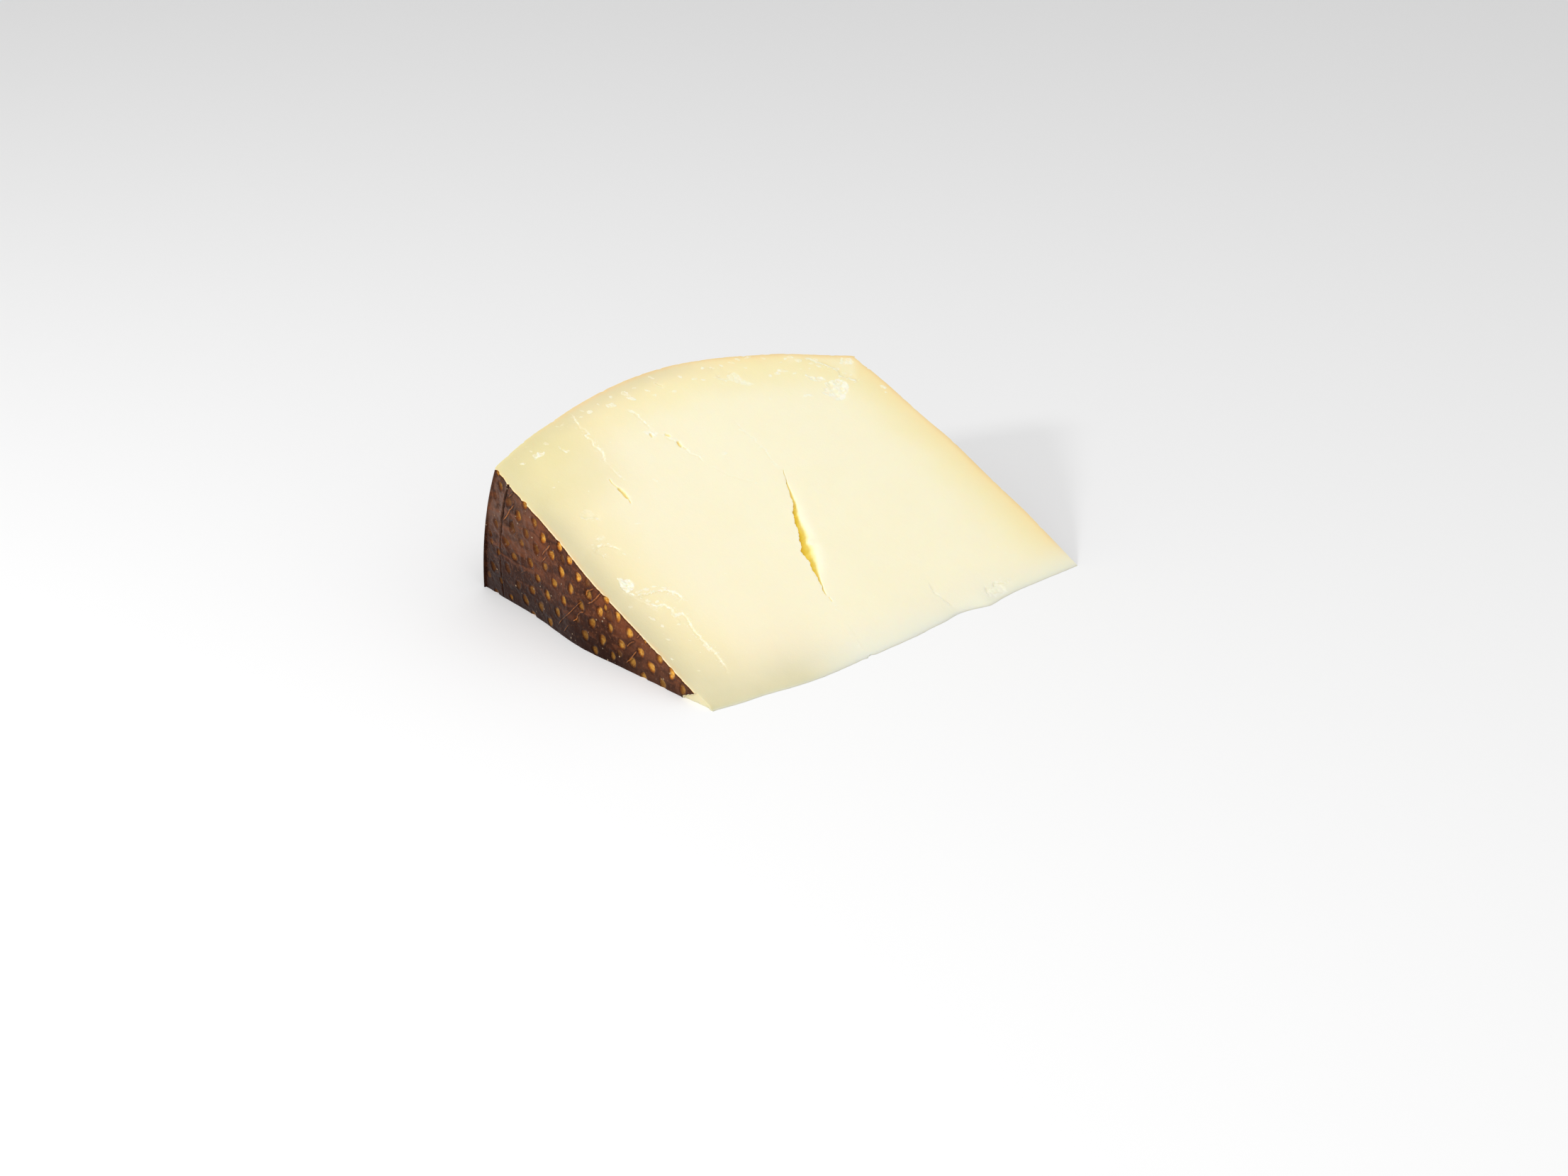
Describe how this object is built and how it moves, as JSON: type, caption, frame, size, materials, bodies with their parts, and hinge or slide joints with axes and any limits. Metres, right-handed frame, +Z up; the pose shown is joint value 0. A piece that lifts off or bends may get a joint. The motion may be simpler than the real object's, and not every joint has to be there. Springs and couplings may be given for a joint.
{
  "type": "wedge of hard cheese",
  "caption": "Wedge of hard sheep's-milk cheese lying on one cut face, with a dark dimpled rind on its curved heel and two flat ends and a gaping crack in the upper cut face.",
  "frame": {"origin": "middle of the part's box, on the surface that the wedge rests on", "axes": "+X along the thin edge, which is the wheel's own axis, from the end with the torn tip to the far end; +Y from the thin edge towards the curved heel; +Z up, out of the resting cut face"},
  "size_m": [0.1162, 0.0994, 0.0393],
  "materials": {
    "cheese": "pale cream cut cheese with a waxy sheen, and a dark brown glossy rind on the heel and both flat ends"
  },
  "bodies": {
    "root": {"wedge": "cheese"}
  },
  "joints": []
}
